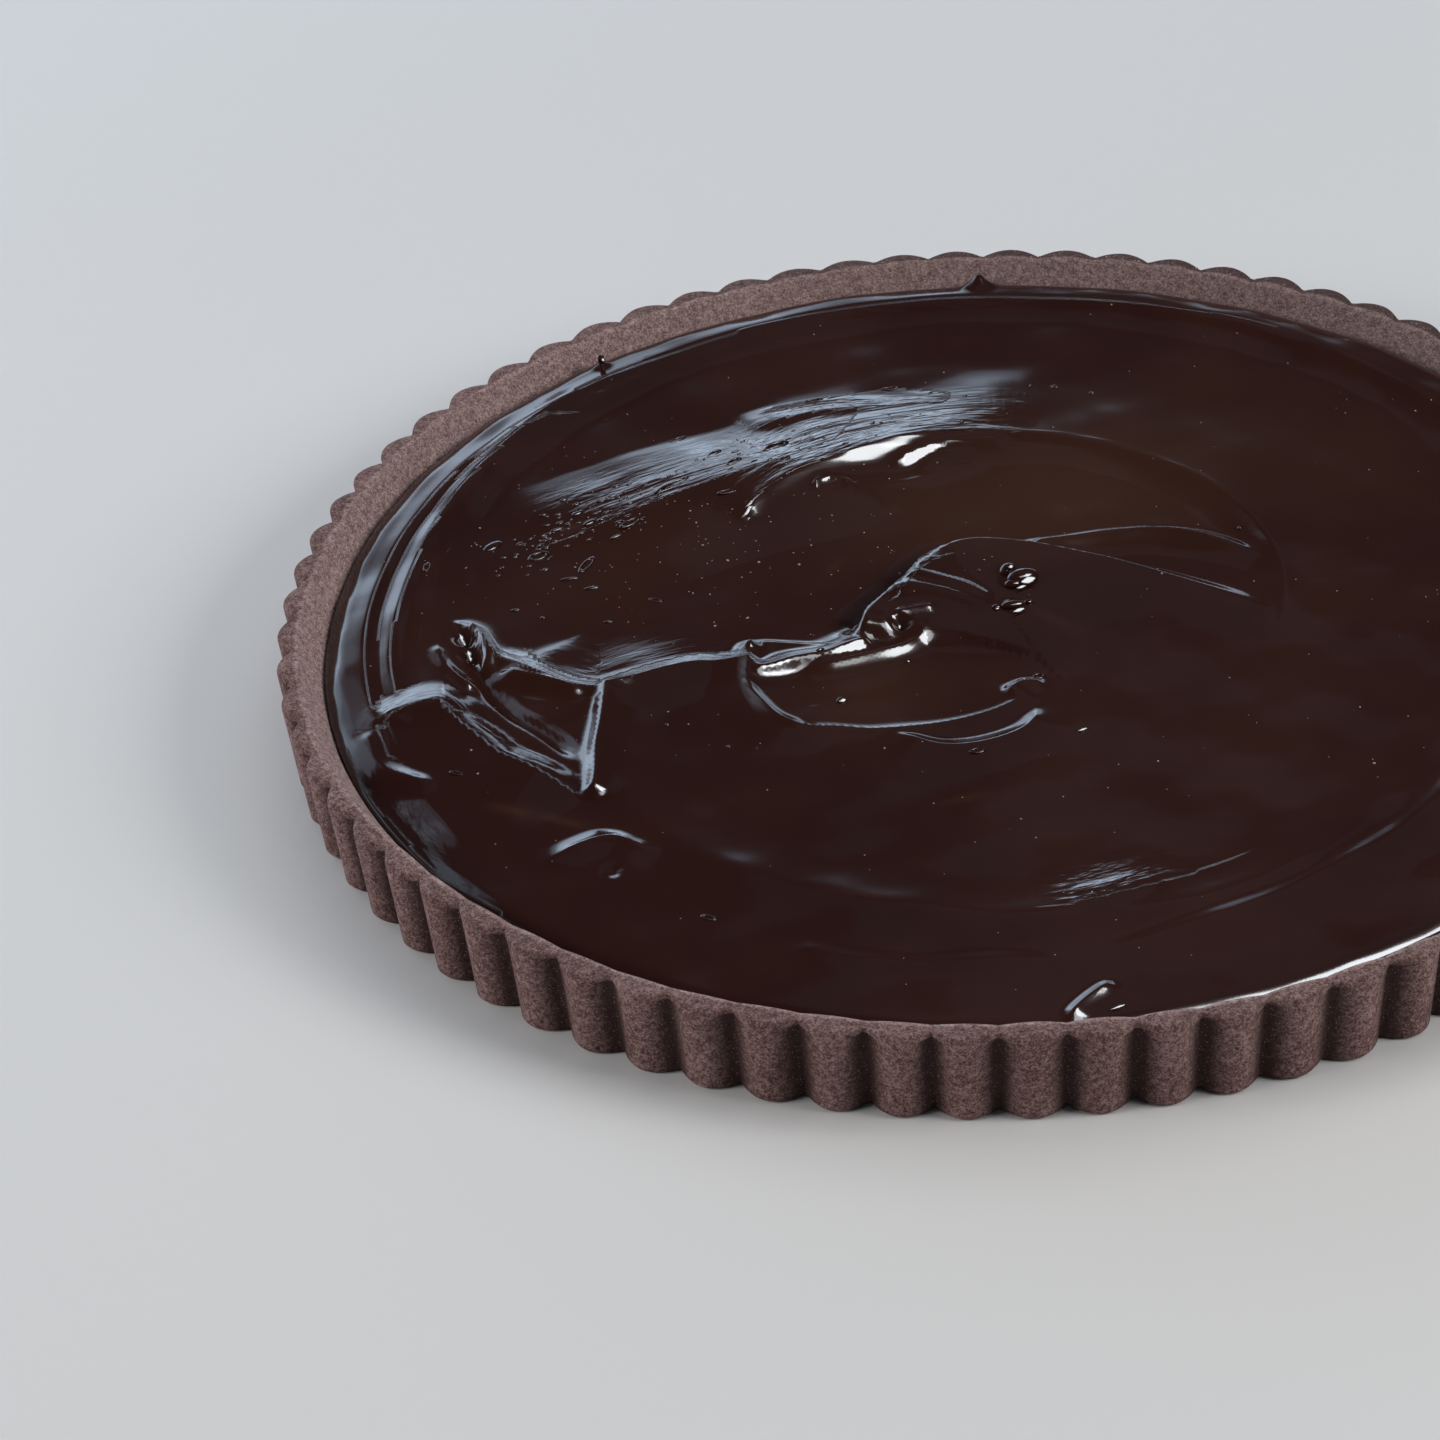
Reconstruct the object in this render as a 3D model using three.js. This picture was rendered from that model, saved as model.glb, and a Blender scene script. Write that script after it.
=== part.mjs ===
// A round chocolate tart: a fluted shortcrust case, baked in a loose-bottomed tin,
// and the soft ganache that fills it, left in swirls by the back of a spoon.
// Millimetres, +Z up, origin at the middle of the base.

import * as THREE from 'three';

// ---- pastry case -------------------------------------------------------------

const FLUTES = 72;
const STEPS_PER_FLUTE = 4;
const FLUTE_DEPTH = 3.7;
const FLUTE_ROUNDNESS = 0.85;       // below 1 gives full crests and narrow valleys
const CREST_RADIUS_AT_RIM = 139.5;
const CREST_RADIUS_AT_BASE = 137.2;
const CASE_HEIGHT = 20;
const BASE_EDGE_ROUND = 0.9;
const RIM_EDGE_ROUND = 1.6;
const FLUTE_SHARE_ON_RIM = 0.6;     // the flutes get shallower as they round over the rim
const RIM_INNER_RADIUS = 134.4;
const WALL_RADIUS_AT_KNEE = 130.4;  // where the inner wall turns steep, below the ganache
const KNEE_HEIGHT = 13;
const FLOOR_RADIUS = 128.6;
const FLOOR_HEIGHT = 5;
const RIM_WANDER = 0.7;             // how far the inner edge of the rim strays in and out
const RIM_WAVE = 0.25;              // how far the top of the rim rises and falls

// ---- ganache -----------------------------------------------------------------

const GAP_TO_CASE = 0.3;
const GANACHE_LEVEL = 15.2;         // floor of the spoon's troughs
const EDGE_FALL = 1.7;              // how far the ganache rounds down towards the case
const EDGE_START = 126.8;           // radius where that fall starts
const EDGE_END = 130.7;
const LOWEST_GANACHE = 13.4;
const TOP_CELLS = 46;               // cells across the top
const CREST_BLEND = 2.6;            // how sharply two crests merge where they meet
const ROUTE_STEPS = 24;

// ---- small helpers -----------------------------------------------------------

const FULL_TURN = 2 * Math.PI;
const AROUND = FLUTES * STEPS_PER_FLUTE;

const mix = (a, b, t) => a + (b - a) * t;
const clamp01 = (t) => Math.min(1, Math.max(0, t));
const smooth = (t) => clamp01(t) ** 2 * (3 - 2 * clamp01(t));

// A slow, hand-made unevenness round the tart, between about -1 and 1.
function uneven(angle, turn) {
  const slow = 0.5 * Math.sin(3 * angle + turn);
  const middle = 0.3 * Math.sin(7 * angle + 2.1 * turn + 1);
  const quick = 0.2 * Math.sin(17 * angle + 3.7 * turn + 2);
  return slow + middle + quick;
}

const polar = (radius, angle, z) => new THREE.Vector3(radius * Math.cos(angle), radius * Math.sin(angle), z);

// A closed body from rings of equal length, capped by a point at each end.
// The rings run from the bottom, up the outside and in over the top.
function bodyFromRings(firstPoint, rings, lastPoint) {
  const count = rings[0].length;
  const points = [firstPoint, ...rings.flat(), lastPoint];
  const faces = [];
  const at = (ring, step) => 1 + ring * count + (step % count);
  const last = points.length - 1;
  for (let step = 0; step < count; step += 1) {
    faces.push(0, at(0, step + 1), at(0, step));
    faces.push(last, at(rings.length - 1, step), at(rings.length - 1, step + 1));
  }
  for (let ring = 0; ring + 1 < rings.length; ring += 1) {
    for (let step = 0; step < count; step += 1) {
      faces.push(at(ring, step), at(ring, step + 1), at(ring + 1, step + 1));
      faces.push(at(ring, step), at(ring + 1, step + 1), at(ring + 1, step));
    }
  }
  return closedGeometry(points, faces);
}

function closedGeometry(points, faces) {
  const geometry = new THREE.BufferGeometry();
  geometry.setFromPoints(points);
  geometry.setIndex(faces);
  geometry.computeVertexNormals();
  return geometry;
}

// ---- pastry case -------------------------------------------------------------

// How deep the outside lies below the flute crests at a step round the case.
function fluteDrop(step) {
  const phase = (step % STEPS_PER_FLUTE) / STEPS_PER_FLUTE;
  const bulge = Math.abs(Math.sin(Math.PI * phase)) ** FLUTE_ROUNDNESS;
  return FLUTE_DEPTH * (1 - bulge);
}

const crestRadius = (z) => mix(CREST_RADIUS_AT_BASE, CREST_RADIUS_AT_RIM, z / CASE_HEIGHT);
const rimTop = (angle) => CASE_HEIGHT - RIM_WAVE * (1 + uneven(angle, 1));
const rimEdge = (angle) => RIM_INNER_RADIUS + RIM_WANDER * uneven(angle, 4);

// The inner wall leans out from the floor, more so above its knee.
function innerWall(z, angle) {
  if (z <= KNEE_HEIGHT) {
    return mix(FLOOR_RADIUS, WALL_RADIUS_AT_KNEE, (z - FLOOR_HEIGHT) / (KNEE_HEIGHT - FLOOR_HEIGHT));
  }
  return mix(WALL_RADIUS_AT_KNEE, rimEdge(angle), (z - KNEE_HEIGHT) / (rimTop(angle) - KNEE_HEIGHT));
}

function caseRing(radiusAndHeight) {
  const ring = [];
  for (let step = 0; step < AROUND; step += 1) {
    const angle = FULL_TURN * step / AROUND;
    const [radius, z] = radiusAndHeight(angle, step);
    ring.push(polar(radius, angle, z));
  }
  return ring;
}

function pastryCase() {
  const outside = (inset, z) => (angle, step) => [crestRadius(z) - inset - fluteDrop(step), z];
  const rimOutside = (step) => CREST_RADIUS_AT_RIM - RIM_EDGE_ROUND - FLUTE_SHARE_ON_RIM * fluteDrop(step);
  const rings = [
    caseRing(outside(BASE_EDGE_ROUND, 0)),
    caseRing(outside(0, BASE_EDGE_ROUND)),
    caseRing((angle, step) => outside(0, rimTop(angle) - RIM_EDGE_ROUND)(angle, step)),
    caseRing((angle, step) => [rimOutside(step), rimTop(angle)]),
    caseRing((angle) => [rimEdge(angle), rimTop(angle)]),
    caseRing((angle) => [innerWall(KNEE_HEIGHT, angle), KNEE_HEIGHT]),
    caseRing((angle) => [innerWall(FLOOR_HEIGHT, angle), FLOOR_HEIGHT]),
  ];
  return bodyFromRings(new THREE.Vector3(0, 0, 0), rings, new THREE.Vector3(0, 0, FLOOR_HEIGHT));
}

// ---- relief of the ganache ---------------------------------------------------

// A crest between two strokes of the spoon. Its route is a smooth curve through a few
// points and rise is its height at its tallest. Left and right are [reach, bow]: how far
// the slope reaches on that side of the route, and how hollow it is, from 1 for a straight
// slope to 2 for a hollow one. A round crest has no sharp edge. The rise swells in over
// the first part of the route and dies out over the last.
function crest(rise, left, right, points, { round = 0.35, swell = 0.2, fade = 0.2 } = {}) {
  const corners = points.map(([x, y]) => new THREE.Vector3(x, y, 0));
  const curve = new THREE.CatmullRomCurve3(corners, false, 'centripetal');
  return { rise, left, right, round, swell, fade, route: curve.getPoints(ROUTE_STEPS) };
}

// A route round the middle of the tart, through [degrees, radius] pairs.
function around(pairs) {
  return pairs.map(([degrees, radius]) => {
    const angle = THREE.MathUtils.degToRad(degrees);
    return [radius * Math.cos(angle), radius * Math.sin(angle)];
  });
}

// The great curl, which starts on the left and winds round the middle.
function curlCrests() {
  return [
    crest(3.7, [22, 1.0], [8, 1.9], [
      [-50, 32], [-48, 39], [-40, 49.5], [-32, 56], [-24, 61], [-10, 66], [3, 67], [10, 65.5],
    ], { swell: 0.2, fade: 0.5 }),
    crest(2.6, [32, 1.4], [8, 1.9], [
      [-32, 56], [-24, 61], [-10, 66], [3, 67], [20, 63], [34, 55], [48, 41], [57, 20], [57, -2],
      [49, -24],
    ], { swell: 0.16, fade: 0.4 }),
    crest(2.9, [21, 1.0], [26, 1.0], [
      [-94, 27], [-84, 33], [-74, 39], [-62, 46], [-50, 52], [-42, 56], [-33, 63], [-22, 67.5],
      [-12, 69.5],
    ], { round: 1.5, swell: 0.45, fade: 0.4 }),
    crest(1.3, [7, 1.1], [8, 2.0], [
      [-52, 71], [-38, 77], [-20, 80], [0, 80.5],
    ], { round: 0.8, fade: 0.6 }),
    crest(1.2, [2.5, 1.6], [5, 1.8], [
      [-16, 54], [-10, 59], [-5, 62], [5, 62.3], [20, 59.5], [36, 51],
    ], { fade: 0.4 }),
  ];
}

// The mound in the middle, steep on its outer side.
function moundCrests() {
  return [
    crest(3.9, [44, 1.3], [2.4, 1.1], [
      [66, -12], [52, 3], [34, 13.5], [20, 19], [10, 21.8], [1, 23.3], [-4, 23.5], [-8, 22],
      [-12, 19], [-15, 14], [-18, 8], [-21, 4.5], [-24, 0], [-24.5, -4], [-25, -9],
    ], { swell: 0.35, fade: 0.08 }),
    crest(2.6, [4, 1.6], [6, 1.6], [
      [3, 23.5], [14, 25.6], [24, 27.8], [36, 28.2], [50, 23], [60, 12],
    ], { swell: 0.15, fade: 0.4 }),
    crest(2.5, [8, 1.8], [3, 1.4], [
      [-47, -18.5], [-42.5, -17], [-38, -15], [-32, -13.5], [-27, -10.5], [-22.5, -8],
    ], { swell: 0.08, fade: 0.1 }),
  ];
}

// The small dish in front of the mound and the wide dish at the front.
function dishCrests() {
  return [
    crest(1.2, [10, 1.5], [8, 1.0], [
      [-47, -9], [-47, -17], [-46.5, -23], [-44, -29], [-40, -34.6], [-36, -36.8], [-30, -37],
    ], { swell: 0.1, fade: 0.25 }),
    crest(1.3, [4, 1.4], [9, 1.8], [
      [-24, -37.5], [-17.5, -40.3], [-12, -43.5], [-8.8, -44.3], [-3, -43.7], [3, -41], [7, -37.7],
      [8.5, -34], [8, -29],
    ]),
    crest(1.0, [12, 1.5], [9, 1.8], [
      [-73, -22], [-73, -34], [-71.5, -48], [-69, -57], [-63.5, -67], [-53, -78], [-38, -87],
      [-20, -93], [0, -97], [22, -97], [44, -90], [64, -75], [80, -52], [88, -24], [86, 4],
    ], { round: 1.2, swell: 0.06, fade: 0.3 }),
  ];
}

// The crests on the left that meet in a star, and the small ones at the front.
function starCrests() {
  return [
    crest(1.0, [17, 1.0], [11, 1.0], [
      [-95, -10], [-92, -13.7], [-88, -17], [-80, -22.2], [-74, -23], [-66, -18.7], [-57, -14.4],
      [-50, -14],
    ], { swell: 0.3, fade: 0.3 }),
    crest(2.2, [1.6, 1.5], [4, 1.3], [
      [-96, -14.5], [-86, -20.2], [-77, -25.5],
    ]),
    crest(2.7, [8, 1.9], [3.0, 1.2], [
      [-74, -22], [-74.3, -34], [-74.8, -43], [-74.6, -52], [-75, -59.5],
    ], { swell: 0.05, fade: 0.12 }),
    crest(2.3, [4.5, 1.0], [16, 1.3], [
      [-108.5, -14], [-107.6, -23.5], [-105, -29.4], [-102, -33.7], [-97, -40], [-93, -45],
      [-88, -48.9], [-82, -53.7], [-75.5, -58.5],
    ], { round: 1.6, swell: 0.25, fade: 0.2 }),
    crest(1.9, [6.5, 1.0], [7, 1.6], [
      [-116.5, -36], [-116, -33], [-114, -30.8], [-111.4, -29], [-107, -28], [-104, -30],
      [-100, -36],
    ], { round: 1.8, swell: 0.3, fade: 0.2 }),
    crest(1.3, [5, 1.6], [4, 1.3], [
      [-118.5, -31], [-118, -40], [-115.5, -47], [-110, -51], [-102, -54],
    ]),
    crest(1.0, [4, 1.4], [6, 1.8], [
      [-85, -80], [-77, -74], [-72, -71.6], [-69, -72], [-66, -74], [-59, -77],
    ]),
    crest(1.0, [12, 1.7], [6, 1.5], [
      [-4, -97], [10, -95.5], [22, -92], [36, -85],
    ], { round: 1.0, swell: 0.7, fade: 0.3 }),
  ];
}

// The bank along the rim, in terraces.
function bankCrests() {
  return [
    crest(2.3, [21, 1.15], [9, 2.0], around([
      [200, 108], [193, 108], [183, 108], [173, 110.7], [166, 114], [158, 117.5], [146, 120],
      [125, 122.5], [100, 123.5], [75, 123.5], [50, 121], [25, 117], [0, 112], [-25, 108],
      [-45, 108],
    ]), { round: 0.6, swell: 0.06, fade: 0.3 }),
    crest(2.0, [4.5, 1.0], [5, 1.8], around([
      [196, 117], [185, 117.3], [165, 117], [150, 119], [136, 122], [122, 124.5],
    ]), { swell: 0.15, fade: 0.25 }),
    crest(1.7, [6, 1.0], [2.5, 1.7], around([
      [203, 123], [195, 122.4], [180, 122.4], [165, 122.4], [150, 122.8], [140, 123.5],
    ]), { swell: 0.3, fade: 0.3 }),
    crest(1.1, [6, 1.0], [5.0, 1.0], around([
      [160, 121], [148, 121.5], [135, 122], [110, 122.5], [85, 123], [60, 122.5], [30, 122],
      [0, 121], [-30, 120], [-60, 121],
    ]), { round: 0.5, swell: 0.12, fade: 0.25 }),
    crest(1.3, [9, 1.3], [8, 1.8], around([
      [15, 100], [-10, 103], [-35, 104], [-60, 106], [-85, 112],
    ]), { round: 0.8 }),
  ];
}

// Folds and grooves that lie on top of the crests, so they are added to them.
function foldsOnTop() {
  return [
    crest(1.0, [5.5, 2.2], [1.6, 1.2], [
      [-106, 2.5], [-101, -2], [-97, -9.5], [-92, -13.7], [-88, -17], [-80, -22.2], [-74, -23],
      [-66, -18.7],
    ], { swell: 0.1, fade: 0.15 }),
    crest(1.0, [5.5, 2.2], [6, 1.0], [
      [-76, -23.2], [-74, -23], [-66, -18.7], [-57, -14.4], [-50, -14], [-46, -12],
    ], { swell: 0.3, fade: 0.1 }),
    crest(-2.5, [1.4, 1.2], [5.0, 1.5], [
      [-5, 25.4], [-10, 22.8], [-14.5, 18], [-18.2, 10.5], [-22, 5.5], [-25.6, 0], [-26.5, -6],
    ], { round: 0.4 }),
    crest(-2.3, [7.5, 1.0], [3, 1.0], around([
      [197, 129.5], [204, 129], [210, 128.5], [217, 129], [226, 129.5],
    ]), { round: 0.4, swell: 0.4, fade: 0.45 }),
    crest(-1.0, [4, 1.5], [6, 1.5], [
      [-98, -14], [-92, -22], [-84, -30],
    ], { round: 2.0, swell: 0.5, fade: 0.5 }),
  ];
}

// Peaks that were pulled up with the spoon, and hollows: middle, reach and height.
const spot = (x, y, reach, rise) => ({ x, y, reach, rise });
const SPOTS = [
  spot(-46.8, -9.5, 4.5, 3.4),
  spot(-1, 129.3, 5, 3.6),
  spot(-81, 98, 3.0, 1.4),
  spot(5.5, 10, 4.5, 1.4),
  spot(4, 2, 3.5, 1.0),
  spot(-17.5, -4.2, 3.2, -3.2),
  spot(-102.6, -4, 3.4, -2.6),
  spot(-101.2, -9, 3.2, -2.2),
  spot(-70, -81, 3.0, -1.0),
];

const CRESTS = [...curlCrests(), ...moundCrests(), ...dishCrests(), ...starCrests(), ...bankCrests()];
const FOLDS = foldsOnTop();

// Nearest point of a route: how far away it is, on which side, and how far along.
function nearest(route, x, y) {
  let best = { distance: Infinity, side: 1, along: 0 };
  for (let index = 0; index + 1 < route.length; index += 1) {
    const from = route[index];
    const to = route[index + 1];
    const dx = to.x - from.x;
    const dy = to.y - from.y;
    const t = clamp01(((x - from.x) * dx + (y - from.y) * dy) / (dx * dx + dy * dy));
    const offX = x - from.x - t * dx;
    const offY = y - from.y - t * dy;
    const distance = Math.hypot(offX, offY);
    if (distance < best.distance) {
      best = { distance, side: Math.sign(dx * offY - dy * offX), along: (index + t) / (route.length - 1) };
    }
  }
  return best;
}

function crestHeight({ rise, left, right, round, swell, fade, route }, x, y) {
  const { distance, side, along } = nearest(route, x, y);
  const [reach, bow] = side > 0 ? left : right;
  const rounded = Math.hypot(distance, round) - round;
  const slope = clamp01(1 - rounded / reach) ** bow;
  return rise * slope * smooth(along / swell) * smooth((1 - along) / fade);
}

function spotHeight({ x, y, reach, rise }, atX, atY) {
  return rise * clamp01(1 - Math.hypot(atX - x, atY - y) / reach) ** 2;
}

function reliefHeight(x, y) {
  let heap = 0;
  for (const each of CRESTS) {
    heap += crestHeight(each, x, y) ** CREST_BLEND;
  }
  let height = GANACHE_LEVEL + heap ** (1 / CREST_BLEND);
  for (const each of FOLDS) {
    height += crestHeight(each, x, y);
  }
  for (const each of SPOTS) {
    height += spotHeight(each, x, y);
  }
  const edge = clamp01((Math.hypot(x, y) - EDGE_START) / (EDGE_END - EDGE_START));
  return Math.max(height - EDGE_FALL * edge ** 2, LOWEST_GANACHE);
}

// ---- ganache -----------------------------------------------------------------

// Turns a square grid into a disc of even cells: each square ring becomes a circle.
function onDisc(u, v) {
  if (u === 0 && v === 0) {
    return [0, 0];
  }
  const wide = Math.abs(u) > Math.abs(v);
  const radius = wide ? u : v;
  const angle = wide ? (Math.PI / 4) * (v / u) : Math.PI / 2 - (Math.PI / 4) * (u / v);
  return [radius * Math.cos(angle), radius * Math.sin(angle)];
}

function ganache() {
  const points = [];
  const faces = [];
  const row = TOP_CELLS + 1;
  const at = (column, line) => line * row + column;
  const edge = [];
  for (let line = 0; line < row; line += 1) {
    for (let column = 0; column < row; column += 1) {
      const [unitX, unitY] = onDisc(2 * column / TOP_CELLS - 1, 2 * line / TOP_CELLS - 1);
      const angle = Math.atan2(unitY, unitX);
      const side = innerWall(LOWEST_GANACHE, angle) - GAP_TO_CASE;
      const x = side * unitX;
      const y = side * unitY;
      points.push(new THREE.Vector3(x, y, reliefHeight(x, y)));
    }
  }
  for (let line = 0; line < TOP_CELLS; line += 1) {
    for (let column = 0; column < TOP_CELLS; column += 1) {
      faces.push(at(column, line), at(column + 1, line), at(column + 1, line + 1));
      faces.push(at(column, line), at(column + 1, line + 1), at(column, line + 1));
    }
  }
  for (let step = 0; step < TOP_CELLS; step += 1) {
    edge[step] = at(step, 0);
    edge[TOP_CELLS + step] = at(TOP_CELLS, step);
    edge[2 * TOP_CELLS + step] = at(TOP_CELLS - step, TOP_CELLS);
    edge[3 * TOP_CELLS + step] = at(0, TOP_CELLS - step);
  }
  addSideAndBase(points, faces, edge);
  return closedGeometry(points, faces);
}

// The side follows the inner wall down past its knee to the floor of the case.
function addSideAndBase(points, faces, edge) {
  let upper = edge;
  for (const z of [KNEE_HEIGHT, FLOOR_HEIGHT]) {
    const lower = [];
    for (const index of edge) {
      const angle = Math.atan2(points[index].y, points[index].x);
      lower.push(points.length);
      points.push(polar(innerWall(z, angle) - GAP_TO_CASE, angle, z));
    }
    for (let step = 0; step < edge.length; step += 1) {
      const next = (step + 1) % edge.length;
      faces.push(lower[step], lower[next], upper[next]);
      faces.push(lower[step], upper[next], upper[step]);
    }
    upper = lower;
  }
  const middle = points.length;
  points.push(new THREE.Vector3(0, 0, FLOOR_HEIGHT));
  for (let step = 0; step < edge.length; step += 1) {
    faces.push(middle, upper[(step + 1) % edge.length], upper[step]);
  }
}

// ---- the tart ----------------------------------------------------------------

const pastry = new THREE.MeshStandardMaterial({ color: 0x6b5a50, roughness: 0.9, metalness: 0 });
const chocolate = new THREE.MeshStandardMaterial({ color: 0x2a1612, roughness: 0.15, metalness: 0 });

const caseMesh = new THREE.Mesh(pastryCase(), pastry);
caseMesh.name = 'pastry_case';
const ganacheMesh = new THREE.Mesh(ganache(), chocolate);
ganacheMesh.name = 'chocolate_ganache';

const tart = new THREE.Group();
tart.add(caseMesh, ganacheMesh);

export default tart;
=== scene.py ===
"""Looks of a round chocolate tart: a fluted shortcrust case filled with glossy ganache.

Metres, +Z up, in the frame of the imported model. Sizes below are in millimetres and turned
into metres by MM where a mesh is made.
"""
import math

import bpy
import numpy as np
from mathutils import Matrix, Vector


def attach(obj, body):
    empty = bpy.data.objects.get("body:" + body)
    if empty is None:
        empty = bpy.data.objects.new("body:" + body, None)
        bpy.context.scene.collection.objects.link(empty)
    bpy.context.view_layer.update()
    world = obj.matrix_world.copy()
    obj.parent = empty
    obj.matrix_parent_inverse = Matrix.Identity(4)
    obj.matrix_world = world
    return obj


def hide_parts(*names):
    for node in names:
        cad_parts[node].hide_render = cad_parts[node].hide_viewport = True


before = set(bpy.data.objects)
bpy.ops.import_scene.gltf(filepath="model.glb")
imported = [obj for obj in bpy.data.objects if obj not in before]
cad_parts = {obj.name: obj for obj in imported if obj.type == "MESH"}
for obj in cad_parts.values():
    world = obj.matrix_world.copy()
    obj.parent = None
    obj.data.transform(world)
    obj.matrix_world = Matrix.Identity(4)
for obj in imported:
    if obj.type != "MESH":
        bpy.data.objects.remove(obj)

MM = 0.001
FULL_TURN = 2 * math.pi
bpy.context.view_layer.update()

# ---- sizes of the tart ---------------------------------------------------------------

CASE_HEIGHT = 20.0
CREST_RADIUS = 139.5


# ---- small helpers -------------------------------------------------------------------

def mix(a, b, t):
    return a + (b - a) * t


def smooth(t):
    t = np.clip(t, 0.0, 1.0)
    return t * t * (3 - 2 * t)


def uneven(angle, turn):
    """A slow, hand-made unevenness round the tart, between about -1 and 1."""
    slow = 0.5 * np.sin(3 * angle + turn)
    middle = 0.3 * np.sin(7 * angle + 2.1 * turn + 1)
    quick = 0.2 * np.sin(17 * angle + 3.7 * turn + 2)
    return slow + middle + quick


def start_clean():
    if bpy.context.object and bpy.context.object.mode != "OBJECT":
        bpy.ops.object.mode_set(mode="OBJECT")
    bpy.ops.object.select_all(action="DESELECT")


def get_points(piece):
    points = np.empty(len(piece.data.vertices) * 3)
    piece.data.vertices.foreach_get("co", points)
    return points.reshape(-1, 3) / MM


def set_points(piece, points):
    piece.data.vertices.foreach_set("co", (points * MM).ravel())
    piece.data.update()


def store(piece, name, numbers):
    """Stores one number for each point of a piece."""
    piece.data.attributes.new(name, "FLOAT", "POINT").data.foreach_set("value", numbers)


# ---- shader maths --------------------------------------------------------------------

class Value:
    """Wraps a shader socket, so that maths on it reads as an expression."""

    def __init__(self, sheet, socket):
        self.sheet = sheet
        self.socket = socket

    def _math(self, operation, first, second):
        return self.sheet.add("ShaderNodeMath", {"operation": operation}, {0: first, 1: second})

    def __add__(self, other):
        return self._math("ADD", self, other)

    __radd__ = __add__

    def __mul__(self, other):
        return self._math("MULTIPLY", self, other)

    __rmul__ = __mul__

    def __sub__(self, other):
        return self._math("SUBTRACT", self, other)

    def __rsub__(self, other):
        return self._math("SUBTRACT", other, self)


class Sheet:
    """The node sheet of one material."""

    def __init__(self, name):
        self.material = bpy.data.materials.new(name)
        self.material.use_nodes = True
        self.tree = self.material.node_tree
        self.shader = self.tree.nodes["Principled BSDF"]

    def add(self, kind, settings=None, inputs=None, output=0):
        node = self.tree.nodes.new(kind)
        for name, value in (settings or {}).items():
            if name == "stops":
                ramp = node.color_ramp
                while len(ramp.elements) < len(value):
                    ramp.elements.new(0.5)
                for stop, (place, colour) in zip(ramp.elements, value):
                    stop.position = place
                    stop.color = colour
            else:
                setattr(node, name, value)
        for name, value in (inputs or {}).items():
            self.feed(node.inputs[name], value)
        return Value(self, node.outputs[output])

    def feed(self, socket, value):
        if isinstance(value, Value):
            self.tree.links.new(value.socket, socket)
        else:
            socket.default_value = value

    def place(self):
        return self.add("ShaderNodeTexCoord", output="Object")

    def noise(self, place, scale, detail=3.0, roughness=0.5):
        inputs = {"Vector": place, "Scale": scale, "Detail": detail, "Roughness": roughness}
        return self.add("ShaderNodeTexNoise", {}, inputs)

    def cells(self, place, scale):
        return self.add("ShaderNodeTexVoronoi", {}, {"Vector": place, "Scale": scale})

    def ramp(self, factor, stops):
        return self.add("ShaderNodeValToRGB", {"stops": stops}, {"Fac": factor})

    def blend(self, factor, first, second):
        inputs = {0: factor, 6: first, 7: second}
        return self.add("ShaderNodeMix", {"data_type": "RGBA"}, inputs, output=2)

    def band(self, factor, low, high):
        """0 below low and 1 above high, smooth between."""
        inputs = {"Value": factor, "From Min": low, "From Max": high}
        return self.add("ShaderNodeMapRange", {"interpolation_type": "SMOOTHSTEP"}, inputs)

    def attribute(self, name, output="Fac"):
        return self.add("ShaderNodeAttribute", {"attribute_name": name}, output=output)

    def stretched(self, place, scale):
        return self.add("ShaderNodeMapping", {}, {"Vector": place, "Scale": scale})

    def bump(self, height, depth, strength=1.0, normal=None):
        inputs = {"Height": height, "Distance": depth, "Strength": strength}
        if normal is not None:
            inputs["Normal"] = normal
        return self.add("ShaderNodeBump", {}, inputs)

    def finish(self, **sockets):
        for name, value in sockets.items():
            self.feed(self.shader.inputs[name.replace("_", " ")], value)
        return self.material


def colour(red, green, blue):
    return (red, green, blue, 1.0)


DEEP_BROWN = colour(0.0235, 0.0062, 0.0048)
MILD_BROWN = colour(0.0310, 0.0096, 0.0068)
WARM_BROWN = colour(0.0560, 0.0230, 0.0130)

# Streaks left by the spoon: how fine they are along, between and across the strokes.
STREAK_SCALE = (320.0, 320.0, 1050.0)
DRAG_SCALE = (62.0, 60.0, 215.0)

# The pastry from its dark grains to its pale ones, outside and on the inner wall.
OUTER_TONES = [
    (0.41, colour(0.095, 0.050, 0.046)),
    (0.50, colour(0.195, 0.114, 0.107)),
    (0.59, colour(0.340, 0.222, 0.210)),
]
INNER_TONES = [
    (0.38, colour(0.140, 0.086, 0.082)),
    (0.50, colour(0.285, 0.188, 0.182)),
    (0.62, colour(0.470, 0.345, 0.335)),
]
# Painted shade for the grooves of the flutes and the top of the rim, also used to make the case
# darker towards the back; the inner wall is only made darker towards the back.
SHADE_AND_BACK_DARK_OUTSIDE = colour(0.040, 0.021, 0.018)
BACK_DARK_INSIDE = colour(0.060, 0.036, 0.034)
# Painted shade in the pits and pores of the pastry.
PIT_SHADE = colour(0.045, 0.025, 0.022)
PORE_SHADE = colour(0.055, 0.031, 0.027)
FLECK_BEIGE = colour(0.420, 0.310, 0.290)


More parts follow.
